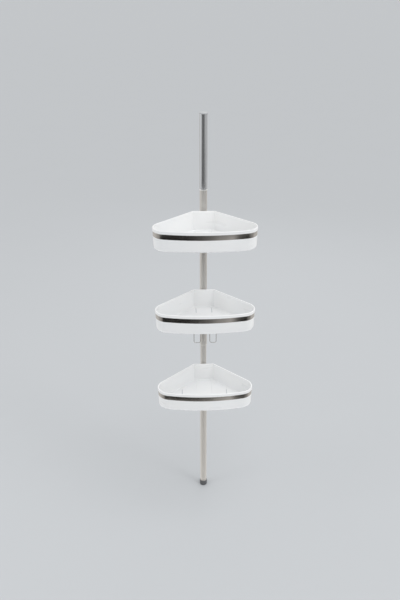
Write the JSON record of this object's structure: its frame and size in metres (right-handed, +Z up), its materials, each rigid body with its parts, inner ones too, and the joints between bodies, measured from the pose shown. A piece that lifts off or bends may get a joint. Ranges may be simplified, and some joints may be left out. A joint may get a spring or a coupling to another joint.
{
  "type": "corner shower caddy",
  "caption": "Tension pole corner shower caddy: deep white corner baskets with polished trim bands, each clamped by a lever to a sprung telescopic pole.",
  "frame": {"origin": "pole axis at the underside of the foot", "axes": "+Z up along the pole, -Y towards the user, +Y into the room's corner"},
  "size_m": [0.337, 0.244, 1.524],
  "materials": {
    "basket_plastic": "satin-gloss white ABS, injection moulded",
    "band_steel": "polished stainless strip",
    "pole_steel": "satin stainless tube",
    "top_steel": "polished stainless tube",
    "ferrule": "bright ring",
    "foot_rubber": "matte dark grey rubber",
    "pad_rubber": "matte light grey rubber",
    "bush_nylon": "natural nylon",
    "sleeve_nylon": "grey nylon, split sleeve",
    "carrier_plastic": "white ABS, fine texture",
    "shoe_rubber": "black rubber",
    "lever_plastic": "grey acetal",
    "pin_steel": "turned steel",
    "hanger_wire": "bright stainless wire",
    "spring_steel": "spring steel wire"
  },
  "bodies": {
    "base": {"foot": "foot_rubber", "lower_tube": "pole_steel", "lower_bush": "bush_nylon", "inner_tube": "pole_steel", "centring_plug": "bush_nylon", "piston": "bush_nylon", "tension_spring": "spring_steel"},
    "main_pole": {"main_tube": "pole_steel", "guide_bush": "bush_nylon", "spring_stop": "bush_nylon", "lock_spindle": "bush_nylon"},
    "cam_ring": {"cam_ring": "bush_nylon"},
    "ceiling_pad": {"ceiling_pad": "pad_rubber"},
    "top_section": {"top_tube": "top_steel", "top_ferrule": "ferrule", "top_plug": "bush_nylon"},
    "sleeve_1": {"sleeve_1": "sleeve_nylon"},
    "carrier_1": {"carrier_1": "carrier_plastic", "lever_pin_1": "pin_steel"},
    "lever_1": {"lever_1": "lever_plastic"},
    "shoe_1": {"shoe_1": "shoe_rubber"},
    "basket_1": {"basket_1": "basket_plastic", "trim_band_1": "band_steel"},
    "sleeve_2": {"sleeve_2": "sleeve_nylon"},
    "carrier_2": {"carrier_2": "carrier_plastic", "lever_pin_2": "pin_steel"},
    "lever_2": {"lever_2": "lever_plastic"},
    "shoe_2": {"shoe_2": "shoe_rubber"},
    "basket_2": {"basket_2": "basket_plastic", "trim_band_2": "band_steel"},
    "sleeve_3": {"sleeve_3": "sleeve_nylon"},
    "carrier_3": {"carrier_3": "carrier_plastic", "lever_pin_3": "pin_steel"},
    "lever_3": {"lever_3": "lever_plastic"},
    "shoe_3": {"shoe_3": "shoe_rubber"},
    "basket_3": {"basket_3": "basket_plastic", "trim_band_3": "band_steel"},
    "hanger_left": {"hanger_left": "hanger_wire"},
    "hanger_right": {"hanger_right": "hanger_wire"}
  },
  "joints": [
    {"name": "spring_travel", "type": "slide", "parent": "base", "child": "main_pole", "axis": [0, 0, 1], "range_m": [-0.06, 0], "stiffness_N_per_m": 2700, "springref_m": 0.03, "deforming": ["tension_spring"]},
    {"name": "top_extend", "type": "slide", "parent": "main_pole", "child": "ceiling_pad", "axis": [0, 0, 1], "range_m": [-0.02, 0.11]},
    {"name": "top_twist", "type": "hinge", "parent": "ceiling_pad", "child": "top_section", "pos_m": [0, 0, 1.5], "axis": [0, 0, 1], "range_deg": [-60, 60]},
    {"name": "cam_turn", "type": "hinge", "parent": "main_pole", "child": "cam_ring", "pos_m": [0.00035, 0, 1.451], "axis": [0, 0, 1], "range_deg": [-60, 60]},
    {"name": "height_1", "type": "slide", "parent": "main_pole", "child": "sleeve_1", "axis": [0, 0, 1], "range_m": [-0.05, 0.05]},
    {"name": "swing_1", "type": "hinge", "parent": "sleeve_1", "child": "carrier_1", "pos_m": [0, 0, 1.2], "axis": [0, 0, 1], "continuous": true},
    {"name": "lever_1_turn", "type": "hinge", "parent": "carrier_1", "child": "lever_1", "pos_m": [0, -0.02651, 1.114], "axis": [-1, 0, 0], "range_deg": [0, 80]},
    {"name": "shoe_1_slide", "type": "slide", "parent": "carrier_1", "child": "shoe_1", "axis": [0, -1, 0], "range_m": [0, 0.00056]},
    {"name": "lift_off_1", "type": "slide", "parent": "carrier_1", "child": "basket_1", "axis": [0, 0, 1], "range_m": [0, 0.035]},
    {"name": "height_2", "type": "slide", "parent": "main_pole", "child": "sleeve_2", "axis": [0, 0, 1], "range_m": [-0.06, 0.06]},
    {"name": "swing_2", "type": "hinge", "parent": "sleeve_2", "child": "carrier_2", "pos_m": [0, 0, 0.9066], "axis": [0, 0, 1], "continuous": true},
    {"name": "lever_2_turn", "type": "hinge", "parent": "carrier_2", "child": "lever_2", "pos_m": [0, -0.02651, 0.8206], "axis": [-1, 0, 0], "range_deg": [0, 80]},
    {"name": "shoe_2_slide", "type": "slide", "parent": "carrier_2", "child": "shoe_2", "axis": [0, -1, 0], "range_m": [0, 0.00056]},
    {"name": "lift_off_2", "type": "slide", "parent": "carrier_2", "child": "basket_2", "axis": [0, 0, 1], "range_m": [0, 0.035]},
    {"name": "height_3", "type": "slide", "parent": "base", "child": "sleeve_3", "axis": [0, 0, 1], "range_m": [-0.35, 0]},
    {"name": "swing_3", "type": "hinge", "parent": "sleeve_3", "child": "carrier_3", "pos_m": [0, 0, 0.5963], "axis": [0, 0, 1], "continuous": true},
    {"name": "lever_3_turn", "type": "hinge", "parent": "carrier_3", "child": "lever_3", "pos_m": [0, -0.02651, 0.5103], "axis": [-1, 0, 0], "range_deg": [0, 80]},
    {"name": "shoe_3_slide", "type": "slide", "parent": "carrier_3", "child": "shoe_3", "axis": [0, -1, 0], "range_m": [0, 0.00056]},
    {"name": "lift_off_3", "type": "slide", "parent": "carrier_3", "child": "basket_3", "axis": [0, 0, 1], "range_m": [0, 0.035]},
    {"name": "hanger_left_slide", "type": "slide", "parent": "basket_2", "child": "hanger_left", "axis": [0, 1, 0], "range_m": [-0.007, 0.042]},
    {"name": "hanger_right_slide", "type": "slide", "parent": "basket_2", "child": "hanger_right", "axis": [0, 1, 0], "range_m": [-0.007, 0.042]}
  ],
  "couplings": [
    {"joint": "cam_turn", "follows": "top_twist", "ratio": 1},
    {"joint": "shoe_1_slide", "follows": "lever_1_turn", "m_per_rad": 0.00039},
    {"joint": "shoe_2_slide", "follows": "lever_2_turn", "m_per_rad": 0.00039},
    {"joint": "shoe_3_slide", "follows": "lever_3_turn", "m_per_rad": 0.00039}
  ]
}
